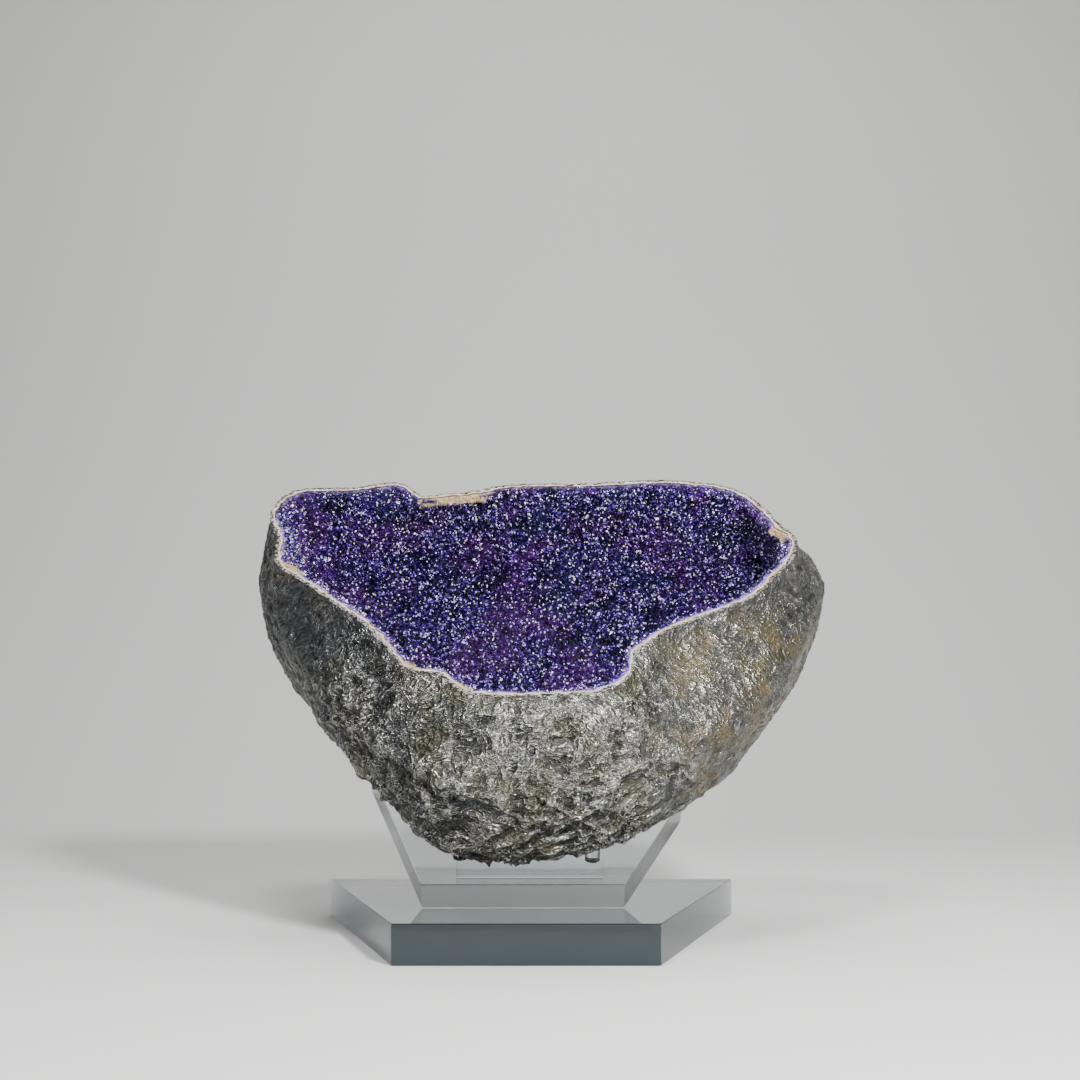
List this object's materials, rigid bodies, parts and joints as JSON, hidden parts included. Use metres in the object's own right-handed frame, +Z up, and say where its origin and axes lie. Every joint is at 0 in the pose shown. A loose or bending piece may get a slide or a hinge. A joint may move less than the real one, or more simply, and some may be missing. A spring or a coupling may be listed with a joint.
{
  "type": "geode half",
  "caption": "Half of an amethyst geode: a hollow rock shell lined with crystals, its sawn face tipped forward on a clear acrylic display stand.",
  "frame": {"origin": "centre of the base slab's underside", "axes": "+X along the rim's long way, +Y away from the low front edge of the sawn face, +Z up"},
  "size_m": [0.6038, 0.4245, 0.4661],
  "materials": {
    "rind": "rough grey volcanic rind with scaly relief and ochre stains, and a thin cream agate line along the sawn rim",
    "amethyst": "small glossy crystals, indigo to purple with blue and magenta patches, pale lavender at their roots by the rim",
    "acrylic": "clear polished cast acrylic with a faint grey tint"
  },
  "bodies": {
    "root": {"rind": "rind", "crystal_crust": "amethyst", "base_slab": "acrylic", "platform_slab": "acrylic", "rest_foot_left": "acrylic", "rest_foot_right": "acrylic", "rest_foot_back": "acrylic", "rear_prop": "acrylic"}
  },
  "joints": []
}
